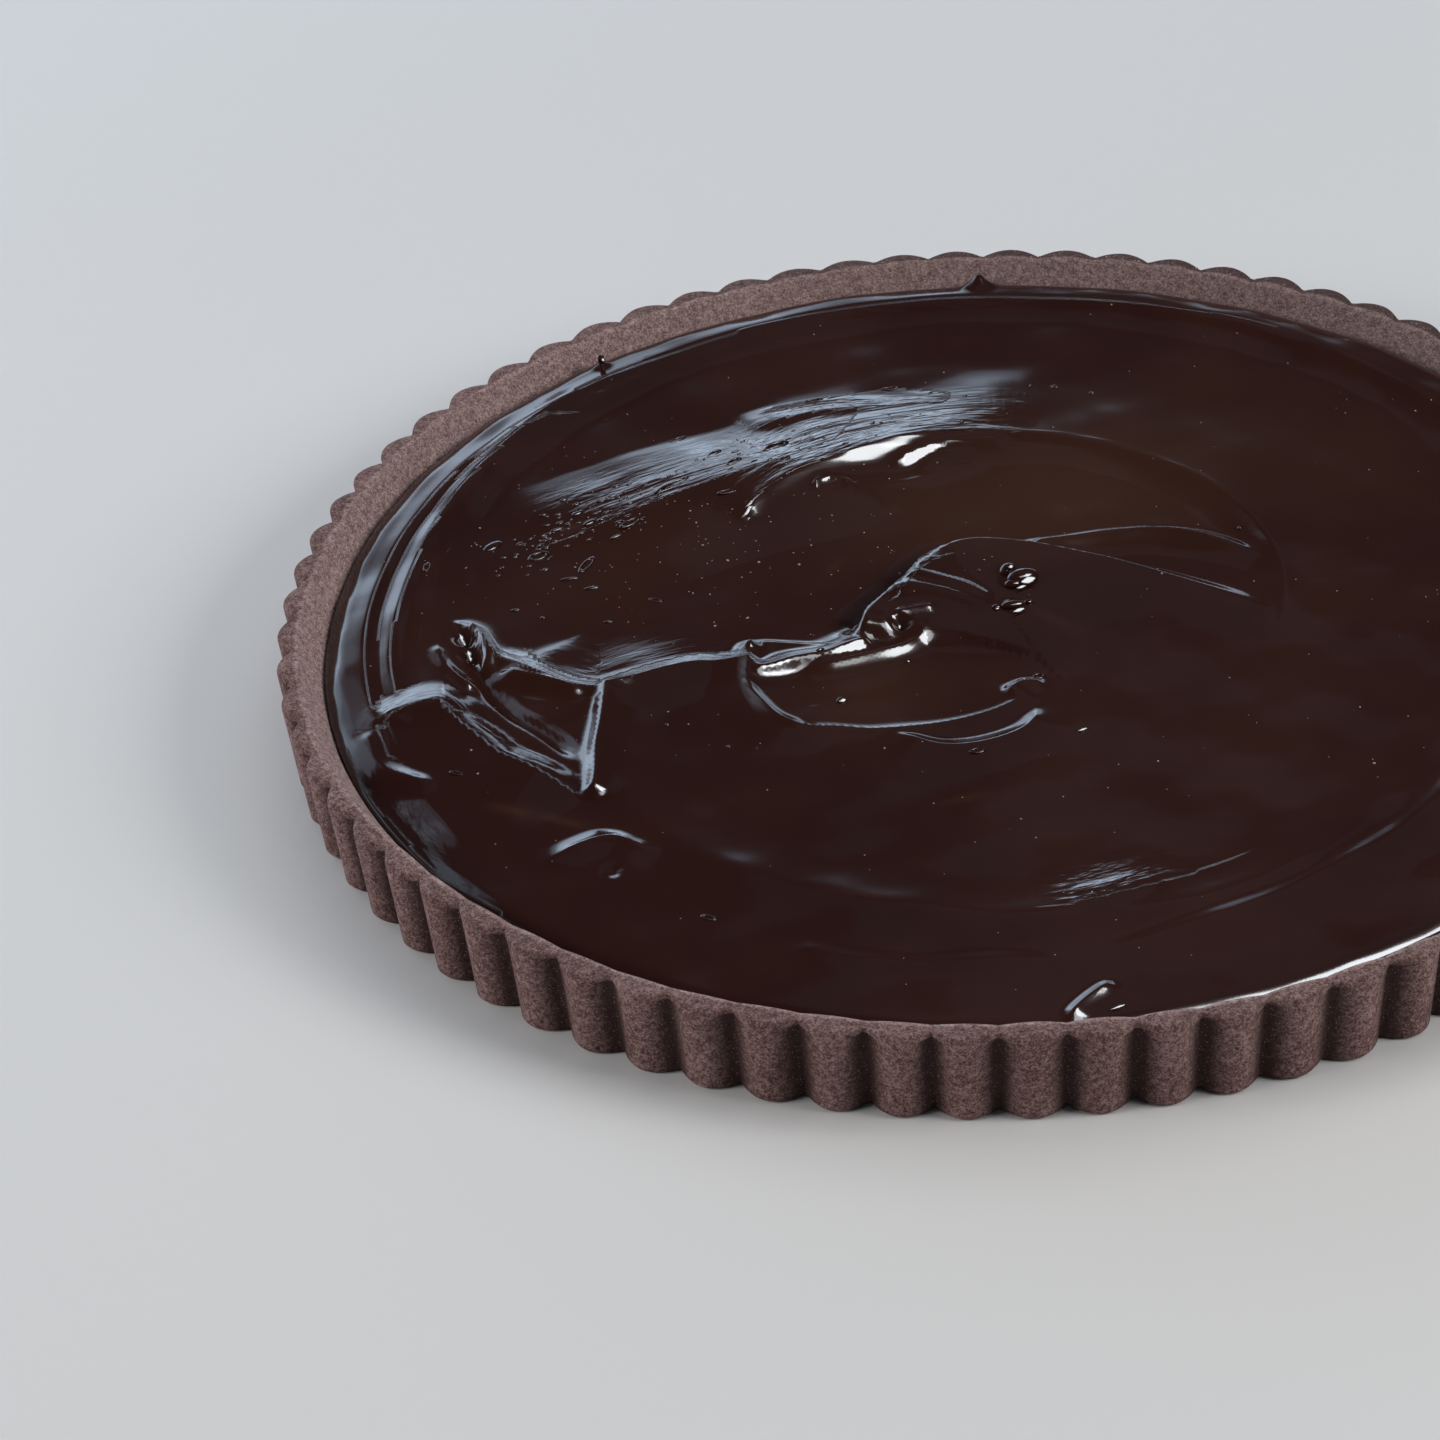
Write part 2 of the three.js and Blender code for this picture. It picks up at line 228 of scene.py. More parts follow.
def ganache_finish(name="dark ganache"):
    sheet = Sheet(name)
    place = sheet.place()
    cloudy = sheet.noise(place, 26.0, 3.0, 0.55)
    brown = sheet.blend(sheet.band(cloudy, 0.40, 0.70), DEEP_BROWN, MILD_BROWN)
    brown = sheet.blend(sheet.attribute("warm"), brown, WARM_BROWN)
    stroke = sheet.attribute("stroke", "Vector")
    streaks = sheet.noise(sheet.stretched(stroke, STREAK_SCALE), 1.0, 2.0, 0.5)
    drag = sheet.noise(sheet.stretched(stroke, DRAG_SCALE), 1.0, 3.0, 0.5)
    share = sheet.attribute("streaky")
    fine = sheet.noise(place, 1500.0, 2.0, 0.5)
    normal = sheet.bump(fine, 0.00002, 0.2)
    normal = sheet.bump(drag * share, 0.0008, 1.0, normal)
    normal = sheet.bump(streaks * share, 0.00010, 1.0, normal)
    return sheet.finish(
        Base_Color=brown, Roughness=0.12, Specular_IOR_Level=0.5, IOR=1.47, Normal=normal)


def pastry_finish(name="baked cocoa pastry"):
    sheet = Sheet(name)
    place = sheet.place()
    grain = sheet.noise(place, 2400.0, 2.0, 0.6)
    crumb = sheet.noise(place, 800.0, 3.0, 0.6)
    patch = sheet.noise(place, 60.0, 3.0, 0.5)
    pits = sheet.cells(place, 420.0)
    pores = sheet.cells(place, 1050.0)
    flecks = sheet.cells(place, 1500.0)
    inside = sheet.attribute("inside")
    # Painted shade in the grooves of the flutes and on the top of the rim, with the case made
    # darker towards the back.
    dark = sheet.band(sheet.attribute("browned"), 0.0, 0.7)
    tone = sheet.ramp(0.5 * grain + 0.35 * crumb + 0.15 * patch, OUTER_TONES)
    tone = sheet.blend(dark * 0.9, tone, SHADE_AND_BACK_DARK_OUTSIDE)
    paler = sheet.ramp(0.6 * grain + 0.4 * crumb, INNER_TONES)
    paler = sheet.blend(dark * 0.7, paler, BACK_DARK_INSIDE)
    tone = sheet.blend(inside, tone, paler)
    # Painted shade in the pits and pores, much less of it on the inner wall.
    hole_shade = 0.60 - 0.55 * inside
    tone = sheet.blend(sheet.band(pits, 0.20, 0.08) * hole_shade, tone, PIT_SHADE)
    tone = sheet.blend(sheet.band(pores, 0.34, 0.16) * hole_shade, tone, PORE_SHADE)
    tone = sheet.blend(sheet.band(flecks, 0.22, 0.10) * 0.6, tone, FLECK_BEIGE)
    normal = sheet.bump(grain, 0.00016, 0.8, sheet.bump(crumb, 0.00040, 0.9))
    normal = sheet.bump(sheet.band(pits, 0.08, 0.24), 0.00022, 0.8, normal)
    return sheet.finish(Base_Color=tone, Roughness=0.9, Specular_IOR_Level=0.2, Normal=normal)


def floor_finish():
    sheet = Sheet("plain pale floor")
    soft = sheet.noise(sheet.place(), 3.0, 2.0)
    tone = sheet.blend(soft, colour(0.70, 0.71, 0.72), colour(0.74, 0.74, 0.74))
    return sheet.finish(Base_Color=tone, Roughness=0.7)


# ---- relief of the ganache -----------------------------------------------------------

GANACHE_LEVEL = 15.2
EDGE_FALL = 1.7
EDGE_START = 126.8
EDGE_END = 130.7
LOWEST_GANACHE = 13.4
CREST_BLEND = 2.6
GATHER_REACH = 1.7
GATHER_SHARE = 0.65
LIP_WIDTH = 0.6


def curve_through(points, steps):
    """A smooth centripetal curve through the points, as the spoon would travel."""
    points = np.array(points, float)
    first = 2 * points[0] - points[1]
    last = 2 * points[-1] - points[-2]
    knots = np.vstack([first, points, last])
    parts = len(points) - 1
    out = []
    for value in np.linspace(0, parts, steps + 1):
        part = min(int(value), parts - 1)
        p0, p1, p2, p3 = knots[part:part + 4]
        t0 = 0.0
        t1 = t0 + max(np.hypot(*(p1 - p0)) ** 0.5, 1e-4)
        t2 = t1 + max(np.hypot(*(p2 - p1)) ** 0.5, 1e-4)
        t3 = t2 + max(np.hypot(*(p3 - p2)) ** 0.5, 1e-4)
        t = mix(t1, t2, value - part)
        a1 = mix(p0, p1, (t - t0) / (t1 - t0))
        a2 = mix(p1, p2, (t - t1) / (t2 - t1))
        a3 = mix(p2, p3, (t - t2) / (t3 - t2))
        b1 = mix(a1, a2, (t - t0) / (t2 - t0))
        b2 = mix(a2, a3, (t - t1) / (t3 - t1))
        out.append(mix(b1, b2, (t - t1) / (t2 - t1)))
    return np.array(out)


class Crest:
    """A crest between two strokes of the spoon, along a smooth route.

    rise is its height at its tallest. left and right are (reach, bow): how far the slope
    reaches on that side of the route, and how hollow it is, from 1 for a straight slope
    to 2 and more for a hollow one. A round crest has no sharp edge. The rise swells in
    over the first part of the route and dies out over the last. The lip is a thin raised
    line along the crest, and streaks are (side, how strong, from, to) along the route.
    """

    def __init__(self, rise, left, right, points, round=0.35, swell=0.2, fade=0.2, lip=0.0,
                 streaks=None):
        self.rise, self.left, self.right = rise, left, right
        self.round, self.swell, self.fade, self.lip = round, swell, fade, lip
        self.streaks = streaks
        self.route = curve_through(points, 8 * (len(points) - 1))
        self.length = np.hypot(*np.diff(self.route, axis=0).T).sum()

    def nearest(self, x, y):
        best = np.full(x.shape, 1e9)
        away_x = np.zeros(x.shape)
        away_y = np.zeros(x.shape)
        side = np.ones(x.shape)
        along = np.zeros(x.shape)
        count = len(self.route) - 1
        for index in range(count):
            start = self.route[index]
            step = self.route[index + 1] - start
            ahead = (x - start[0]) * step[0] + (y - start[1]) * step[1]
            t = np.clip(ahead / (step @ step), 0, 1)
            off_x = x - start[0] - t * step[0]
            off_y = y - start[1] - t * step[1]
            distance = np.hypot(off_x, off_y)
            nearer = distance < best
            best = np.where(nearer, distance, best)
            away_x = np.where(nearer, off_x, away_x)
            away_y = np.where(nearer, off_y, away_y)
            side = np.where(nearer, np.sign(step[0] * off_y - step[1] * off_x), side)
            along = np.where(nearer, (index + t) / count, along)
        return best, side, along, away_x, away_y

    def near(self, x, y, reach):
        low = self.route.min(axis=0) - reach
        high = self.route.max(axis=0) + reach
        return (x > low[0]) & (x < high[0]) & (y > low[1]) & (y < high[1])

    def strength(self, along):
        return smooth(along / self.swell) * smooth((1 - along) / self.fade)

    def height(self, x, y):
        inside = self.near(x, y, max(self.left[0], self.right[0]))
        height = np.zeros(x.shape)
        distance, side, along, _, _ = self.nearest(x[inside], y[inside])
        reach = np.where(side > 0, self.left[0], self.right[0])
        bow = np.where(side > 0, self.left[1], self.right[1])
        rounded = np.hypot(distance, self.round) - self.round
        slope = self.rise * np.clip(1 - rounded / reach, 0, 1) ** bow
        lip = self.lip * np.exp(-((distance / LIP_WIDTH) ** 2))
        height[inside] = (slope + lip) * self.strength(along)
        return height

    def gather(self, x, y):
        """Draws points near the route towards it, so that the edge comes out sharp."""
        inside = self.near(x, y, GATHER_REACH)
        distance, _, along, off_x, off_y = self.nearest(x[inside], y[inside])
        pull = GATHER_SHARE * np.clip(1 - distance / GATHER_REACH, 0, 1)
        pull *= self.strength(along) ** 0.5
        x[inside] -= pull * off_x
        y[inside] -= pull * off_y


def around(pairs):
    """A route round the middle of the tart through (degrees, radius) pairs."""
    return [(r * math.cos(math.radians(a)), r * math.sin(math.radians(a))) for a, r in pairs]


def curl_crests():
    return [
        Crest(3.7, (22, 1.0), (8, 1.9), [(-50, 32), (-48, 39), (-40, 49.5), (-32, 56), (-24, 61),
              (-10, 66), (3, 67), (10, 65.5)], swell=0.2, fade=0.5, lip=0.12,
              streaks=(1, 0.9, 0.0, 1.0)),
        Crest(2.6, (32, 1.4), (8, 1.9), [(-32, 56), (-24, 61), (-10, 66), (3, 67), (20, 63),
              (34, 55), (48, 41), (57, 20), (57, -2), (49, -24)], swell=0.16, fade=0.4, lip=0.12),
        Crest(2.9, (21, 1.0), (26, 1.0), [(-94, 27), (-84, 33), (-74, 39), (-62, 46), (-50, 52),
              (-42, 56), (-33, 63), (-22, 67.5), (-12, 69.5)], round=1.5, swell=0.45, fade=0.4,
              streaks=(1, 0.9, 0.0, 1.0)),
        Crest(1.3, (7, 1.1), (8, 2.0), [(-52, 71), (-38, 77), (-20, 80), (0, 80.5)], round=0.8,
              fade=0.6, streaks=(1, 0.8, 0.0, 1.0)),
        Crest(2.3, (2.2, 1.5), (3, 1.5), [(-23, 55), (-15, 60.3), (-9, 63.3), (-1, 64.5), (8, 63)],
              round=0.3),
        Crest(1.2, (2.5, 1.6), (5, 1.8), [(-16, 54), (-10, 59), (-5, 62), (5, 62.3), (20, 59.5),
              (36, 51)], fade=0.4),
        Crest(0.35, (1.2, 1.5), (4, 1.5), [(-31, 45), (-27, 45.5), (-22.5, 49.5), (-14.5, 52.5),
              (-6.5, 57), (2, 59)]),
    ]


def mound_crests():
    return [
        Crest(3.9, (44, 1.3), (2.4, 1.1), [(66, -12), (52, 3), (34, 13.5), (20, 19), (10, 21.8),
              (1, 23.3), (-4, 23.5), (-8, 22), (-12, 19), (-15, 14), (-18, 8), (-21, 4.5), (-24, 0),
              (-24.5, -4), (-25, -9)], swell=0.35, fade=0.08, lip=0.15),
        Crest(2.6, (4, 1.6), (6, 1.6), [(3, 23.5), (14, 25.6), (24, 27.8), (36, 28.2), (50, 23),
              (60, 12)], swell=0.15, fade=0.4),
        Crest(2.5, (8, 1.8), (3, 1.4), [(-47, -18.5), (-42.5, -17), (-38, -15), (-32, -13.5),
              (-27, -10.5), (-22.5, -8)], swell=0.08, fade=0.1),
        Crest(1.7, (2.2, 1.4), (3.2, 1.5), [(-38, -17.8), (-30, -15.4), (-24, -13.2),
              (-18.5, -10.8), (-14.5, -8), (-13.2, -5), (-15, -3)], swell=0.15, fade=0.1),
        Crest(0.5, (1.2, 1.5), (5, 1.5), [(-46, -6.5), (-36, -8), (-27, -10)], swell=0.1, fade=0.1),
    ]


def dish_crests():
    return [
        Crest(1.2, (10, 1.5), (8, 1.0), [(-47, -9), (-47, -17), (-46.5, -23), (-44, -29),
              (-40, -34.6), (-36, -36.8), (-30, -37)], swell=0.1, fade=0.25, lip=0.2),
        Crest(0.6, (13, 1.2), (5, 1.5), [(-40, -34.6), (-36, -36.8), (-30, -36.9), (-22.5, -38),
              (-15, -37.4), (-8, -36), (-2, -33.6), (2.5, -31), (5.8, -28), (8, -23)], swell=0.15,
              fade=0.1, lip=0.3),
        Crest(1.3, (4, 1.4), (9, 1.8), [(-24, -37.5), (-17.5, -40.3), (-12, -43.5), (-8.8, -44.3),
              (-3, -43.7), (3, -41), (7, -37.7), (8.5, -34), (8, -29)], lip=0.1),
        Crest(1.0, (12, 1.5), (9, 1.8), [(-73, -22), (-73, -34), (-71.5, -48), (-69, -57),
              (-63.5, -67), (-53, -78), (-38, -87), (-20, -93), (0, -97), (22, -97), (44, -90),
              (64, -75), (80, -52), (88, -24), (86, 4)], round=1.2, swell=0.06, fade=0.3),
    ]


def star_crests():
    return [
        Crest(1.0, (17, 1.0), (11, 1.0), [(-95, -10), (-92, -13.7), (-88, -17), (-80, -22.2),
              (-74, -23), (-66, -18.7), (-57, -14.4), (-50, -14)], swell=0.3, fade=0.3,
              streaks=(1, 0.5, 0.0, 1.1)),
        Crest(2.2, (1.6, 1.5), (4, 1.3), [(-96, -14.5), (-86, -20.2), (-77, -25.5)]),
        Crest(2.7, (8, 1.9), (3.0, 1.2), [(-74, -22), (-74.3, -34), (-74.8, -43), (-74.6, -52),
              (-75, -59.5)], swell=0.05, fade=0.12, lip=0.15),
        Crest(2.3, (4.5, 1.0), (16, 1.3), [(-108.5, -14), (-107.6, -23.5), (-105, -29.4),
              (-102, -33.7), (-97, -40), (-93, -45), (-88, -48.9), (-82, -53.7), (-75.5, -58.5)],
              round=1.6, swell=0.25, fade=0.2, streaks=(1, 0.8, 0.2, 1.0)),
        Crest(2.1, (3, 1.5), (3.5, 1.5), [(-108.5, -6), (-106.5, -13.5), (-103, -18.8),
              (-98.5, -23)]),
        Crest(1.9, (2.0, 1.5), (2.5, 1.5), [(-103, 1.5), (-99.8, -4), (-98, -10), (-98.5, -16)]),
        Crest(1.9, (6.5, 1.0), (7, 1.6), [(-116.5, -36), (-116, -33), (-114, -30.8), (-111.4, -29),
              (-107, -28), (-104, -30), (-100, -36)], round=1.8, swell=0.3, fade=0.2,
              streaks=(1, 0.8, 0.0, 1.0)),
        Crest(1.3, (5, 1.6), (4, 1.3), [(-118.5, -31), (-118, -40), (-115.5, -47), (-110, -51),
              (-102, -54)]),
        Crest(1.0, (4, 1.4), (6, 1.8), [(-85, -80), (-77, -74), (-72, -71.6), (-69, -72),
              (-66, -74), (-59, -77)], lip=0.15),
        Crest(0.35, (3, 1.4), (5, 1.7), [(-40, -109), (-34, -106), (-30, -107.5), (-25, -109),
              (-15, -110.5), (0, -110), (16, -112)]),
        Crest(1.0, (12, 1.7), (6, 1.5), [(-4, -97), (10, -95.5), (22, -92), (36, -85)], round=1.0,
              swell=0.7, fade=0.3, streaks=(1, 1.0, 0.25, 1.1)),
        Crest(1.0, (2.0, 1.3), (3, 1.5), [(12, -128), (14.5, -124), (17.5, -120.5), (21, -117.5)],
              lip=0.25),
    ]


def bank_crests():
    return [
        Crest(2.3, (21, 1.15), (9, 2.0),
              around([(200, 108), (193, 108), (183, 108), (173, 110.7), (166, 114), (158, 117.5),
                      (146, 120), (125, 122.5), (100, 123.5), (75, 123.5), (50, 121), (25, 117),
                      (0, 112), (-25, 108), (-45, 108)]),
              round=0.6, swell=0.06, fade=0.3),
        Crest(2.0, (4.5, 1.0), (5, 1.8),
              around([(196, 117), (185, 117.3), (165, 117), (150, 119), (136, 122), (122, 124.5)]),
              swell=0.15, fade=0.25, streaks=(-1, 0.35, 0.0, 1.0)),
        Crest(1.7, (6, 1.0), (2.5, 1.7),
              around([(203, 123), (195, 122.4), (180, 122.4), (165, 122.4), (150, 122.8),
                      (140, 123.5)]),
              swell=0.3, fade=0.3, streaks=(-1, 0.35, 0.0, 1.0)),
        Crest(1.1, (6, 1.0), (5.0, 1.0),
              around([(160, 121), (148, 121.5), (135, 122), (110, 122.5), (85, 123), (60, 122.5),
                      (30, 122), (0, 121), (-30, 120), (-60, 121)]),
              round=0.5, swell=0.12, fade=0.25, streaks=(-1, 0.5, 0.0, 0.6)),
        Crest(1.3, (9, 1.3), (8, 1.8),
              around([(15, 100), (-10, 103), (-35, 104), (-60, 106), (-85, 112)]), round=0.8),
    ]


def small_folds():
    """Folds that lie on top of the crests and strokes, so they are added to them."""
    return [
        Crest(1.0, (5.5, 2.2), (1.6, 1.2), [(-106, 2.5), (-101, -2), (-97, -9.5), (-92, -13.7),
              (-88, -17), (-80, -22.2), (-74, -23), (-66, -18.7)], swell=0.1, fade=0.15, lip=0.1,
              streaks=(1, 0.9, 0.15, 1.0)),
        Crest(1.0, (5.5, 2.2), (6, 1.0), [(-76, -23.2), (-74, -23), (-66, -18.7), (-57, -14.4),
              (-50, -14), (-46, -12)], swell=0.3, fade=0.1, lip=0.1, streaks=(1, 0.9, 0.0, 1.0)),
        Crest(0.45, (1.6, 1.0), (1.6, 1.0), [(-46.5, -10), (-47, -17), (-46.5, -23), (-44, -29),
              (-40, -34.6), (-35, -37)], round=0.2, swell=0.15, fade=0.2),
        Crest(0.7, (2.2, 1.5), (2.2, 1.5), [(-20, 4), (-16, 5.6), (-10, 5.2), (-4, 3.4), (1, 1.5)],
              round=0.8),
        Crest(0.8, (1.4, 1.5), (2.0, 1.5), [(-19, -2.5), (-15, -0.6), (-10, 0.6)], round=0.4),
        Crest(0.8, (1.4, 1.5), (2.0, 1.5), [(-16.5, 11), (-11, 9.5), (-4, 7.5), (1, 4)], round=0.3),
        Crest(1.3, (2, 1.5), (3, 1.5), [(3.6, -28), (4.3, -25), (6.5, -23), (11, -23.5)],
              round=0.5),
        Crest(0.8, (1.2, 1.5), (1.4, 1.5), [(-35.5, 47), (-34, 49.5), (-30.5, 50.6), (-28, 49.6),
              (-28.6, 47.8)], swell=0.1, fade=0.1, lip=0.3),
        Crest(-1.6, (2.4, 1.6), (2.4, 1.6), [(-102, -6), (-99.5, -13), (-97, -19.5), (-91.4, -28.5),
              (-86.4, -34), (-82, -39.5), (-77.5, -47)], round=0.5),
        Crest(-2.5, (1.4, 1.2), (5.0, 1.5), [(-5, 25.4), (-10, 22.8), (-14.5, 18), (-18.2, 10.5),
              (-22, 5.5), (-25.6, 0), (-26.5, -6)], round=0.4),
        Crest(-2.3, (7.5, 1.0), (3, 1.0),
              around([(197, 129.5), (204, 129), (210, 128.5), (217, 129), (226, 129.5)]), round=0.4,
              swell=0.4, fade=0.45, streaks=(1, 0.5, 0.0, 1.1)),
        Crest(-1.0, (4, 1.5), (6, 1.5), [(-98, -14), (-92, -22), (-84, -30)], round=2.0, swell=0.5,
              fade=0.5),
        Crest(0.9, (4.2, 1.0), (12, 1.0), [(-19.5, 1), (-16.5, 6), (-13.5, 11.5), (-10.5, 16),
              (-6, 19.5)], round=0.6, swell=0.3, fade=0.4, streaks=(1, 1.0, 0.0, 1.0)),
    ]


# Peaks that were pulled up with the spoon, and hollows: x, y, reach and height.
SPOTS = [
    (-46.8, -9.5, 4.5, 3.4),
    (-1, 129.3, 5, 3.6),
    (-81, 98, 3.0, 1.4),
    (5.5, 10, 4.5, 1.4),
    (4, 2, 3.5, 1.0),
    (-17.5, -4.2, 3.2, -3.2),
    (-102.6, -4, 3.4, -2.6),
    (-101.2, -9, 3.2, -2.2),
    (-70, -81, 3.0, -1.0),
]


# Where the ganache is a little paler and browner: x, y, reach and how much.
WARM_SPOTS = [
    (-15, 40, 24, 0.35),
    (20, 48, 26, 0.55),
    (-24, -24, 17, 0.45),
    (-60, 25, 30, 0.15),
    (60, 60, 30, 0.25),
    (30, -70, 30, 0.12),
]

# Thin smears of a warmer brown: x, y, length, width, turn in degrees and how much.
SMEARS = [
    (-5, -60, 5, 1.1, 15, 0.35),
    (-22, -91, 6, 1.0, -10, 0.35),
    (-80, -65, 5, 1.2, -25, 0.5),
    (-90, -62, 4.5, 1.3, -20, 0.5),
    (-84, 36, 2.5, 1.0, 50, 0.5),
    (-31, 20, 3.5, 1.0, 60, 0.3),
    (12, -2, 7, 1.6, -35, 0.25),
    (-100, -20, 5, 1.0, -60, 0.4),
]


def ganache_crests():
    return curl_crests() + mound_crests() + dish_crests() + star_crests() + bank_crests()


def wobble(x, y):
    """The slight waviness that every stroke is left with."""
    long_waves = np.sin(0.11 * x + 0.23 * y + 1.0) + np.sin(-0.19 * x + 0.13 * y + 4.0)
    short_waves = np.sin(0.41 * x + 0.29 * y + 2.0) + np.sin(0.23 * x - 0.47 * y + 5.0)
    return 0.10 * long_waves + 0.025 * short_waves


def relief(x, y):
    heap = np.zeros(x.shape)
    for crest in ganache_crests():
        heap += crest.height(x, y) ** CREST_BLEND
    height = heap ** (1 / CREST_BLEND)
    for fold in small_folds():
        height += fold.height(x, y)
    for at_x, at_y, reach, rise in SPOTS:
        height += rise * np.clip(1 - np.hypot(x - at_x, y - at_y) / reach, 0, 1) ** 2
    height += wobble(x, y)
    edge = np.clip((np.hypot(x, y) - EDGE_START) / (EDGE_END - EDGE_START), 0, 1)
    return np.maximum(GANACHE_LEVEL + height - EDGE_FALL * edge ** 2, LOWEST_GANACHE)


# ---- pastry case ---------------------------------------------------------------------

FLUTES = 72
FLUTE_STEPS = 16
ROW_STEP = 0.3
FLUTE_DEPTH = 3.7
FLUTE_SHAPE = 0.85
FLUTE_WANDER = 0.08
FLUTE_VARIATION = 0.12
RIM_WAVE = 0.25
RIM_DIP = 0.20
EDGE_WANDER = 0.7
BASE_CREST_RADIUS = 137.2
BASE_ROUND = 0.8
SHARE_ON_RIM = 0.54
SHOULDER = 1.6
OUTER_ROUND = 1.2
INNER_ROUND = 0.6
RIM_INNER_RADIUS = 134.4
# How much painted shade the top of the rim gets, and how much darker the case is made towards the
# back.
RIM_TOP_SHADE = 0.20
BACK_DARKENING = 0.37
KNEE_RADIUS = 130.4
KNEE_HEIGHT = 13.0
FLOOR_RADIUS = 128.6
FLOOR_HEIGHT = 5.0


def rim_wave(angle):
    """The slow up and down of the rim, as a drop below the full height of the case."""
    return RIM_WAVE * (1 + uneven(angle, 1))


def inner_edge(angle):
    return RIM_INNER_RADIUS + EDGE_WANDER * uneven(angle, 4)


def inner_wall(z, angle):
    edge = inner_edge(angle)
    top = CASE_HEIGHT - rim_wave(angle)
    upper = mix(KNEE_RADIUS, edge, (z - KNEE_HEIGHT) / (top - KNEE_HEIGHT))
    lower = mix(FLOOR_RADIUS, KNEE_RADIUS, (z - FLOOR_HEIGHT) / (KNEE_HEIGHT - FLOOR_HEIGHT))
    return np.where(z > KNEE_HEIGHT, upper, lower)


def groove(angle):
    """How deep the outer wall lies behind the crests of the flutes at this angle."""
    phase = angle * FLUTES / FULL_TURN + FLUTE_WANDER * uneven(angle, 2)
    bulge = np.abs(np.sin(math.pi * phase)) ** FLUTE_SHAPE
    return FLUTE_DEPTH * (1 + FLUTE_VARIATION * uneven(5 * angle, 3)) * (1 - bulge)


def rim_drop(angle):
    """How far the top of the rim lies below the full height: it dips between the flutes."""
    return rim_wave(angle) + RIM_DIP * groove(angle) * (0.6 + 0.4 * uneven(angle, 5))


def rim_edges(angle):
    """The radii between which the top of the rim is flat."""
    outer = CREST_RADIUS - SHARE_ON_RIM * groove(angle) - OUTER_ROUND
    return inner_edge(angle) + INNER_ROUND, outer


def case_profile():
    """Rows up the outside, over the rim and down the inside: height, how much of the
    flutes shows, and an inset, which is from the crests on the outside, a share of the
    width on the rim, and from the wall on the inside."""
    rows = []
    for z in (0.0, 0.25, BASE_ROUND):
        rows.append(("out", z, 1.0, 0.9 * (1 - math.sqrt(z / BASE_ROUND))))
    for z in np.linspace(1.6, 18.2, 20):
        rows.append(("out", z, 1.0, 0.0))
    for turn in np.linspace(0.15, 1.0, 6):
        a = turn * math.pi / 2
        z = CASE_HEIGHT - SHOULDER * (1 - math.sin(a))
        rows.append(("out", z, mix(1.0, SHARE_ON_RIM, turn), OUTER_ROUND * (1 - math.cos(a))))
    rows.append(("rim", CASE_HEIGHT, 0.0, 0.35))
    rows.append(("rim", CASE_HEIGHT, 0.0, 0.7))
    for turn in np.linspace(0.0, 1.0, 5):
        a = turn * math.pi / 2
        z = CASE_HEIGHT - INNER_ROUND * (1 - math.cos(a))
        rows.append(("in", z, 0.0, INNER_ROUND * (1 - math.sin(a))))
    for z in np.linspace(18.2, KNEE_HEIGHT, 9):
        rows.append(("in", z, 0.0, 0.0))
    for z in (9.0, FLOOR_HEIGHT):
        rows.append(("in", z, 0.0, 0.0))
    return rows


def make_case():
    rows = case_profile()
    start_clean()
    bpy.ops.mesh.primitive_circle_add(
        vertices=FLUTES * FLUTE_STEPS, radius=CREST_RADIUS * MM, fill_type="NOTHING")
    case = bpy.context.object
    case.name = "baked_pastry_case"
    bpy.ops.object.mode_set(mode="EDIT")
    bpy.ops.mesh.select_all(action="SELECT")
    for _ in rows[1:]:
        bpy.ops.mesh.extrude_edges_move(TRANSFORM_OT_translate={"value": (0, 0, ROW_STEP * MM)})
    bpy.ops.mesh.edge_face_add()
    bpy.ops.mesh.poke()
    bpy.ops.mesh.select_all(action="DESELECT")
    bpy.ops.mesh.select_non_manifold()
    bpy.ops.mesh.edge_face_add()
    bpy.ops.mesh.poke()
    bpy.ops.object.mode_set(mode="OBJECT")
    points = get_points(case)
    middle = np.hypot(points[:, 0], points[:, 1]) < 1.0
    level = np.rint(points[:, 2] / ROW_STEP).astype(int)
    angle = np.arctan2(points[:, 1], points[:, 0])
    rim_inner, rim_outer = rim_edges(angle)
    radius = np.zeros(len(points))
    height = np.zeros(len(points))
    for index, (kind, z, share, inset) in enumerate(rows):
        here = (level == index) & ~middle
        crest = mix(BASE_CREST_RADIUS, CREST_RADIUS, z / CASE_HEIGHT)
        if kind == "out":
            made = crest - share * groove(angle) - inset
        elif kind == "rim":
            made = mix(rim_outer, rim_inner, inset)
        else:
            made = inner_wall(np.full(len(points), z), angle) + inset
        radius[here] = made[here]
        height[here] = z - (rim_drop(angle) * smooth((z - 12) / 8))[here]
    points[:, 0] = np.where(middle, 0, radius * np.cos(angle))
    points[:, 1] = np.where(middle, 0, radius * np.sin(angle))
    points[:, 2] = np.where(middle, np.where(level > 2, FLOOR_HEIGHT, 0.0), height)
    set_points(case, points)
    mark_inside_and_painted_shade(case, rows, level, angle)
    return case


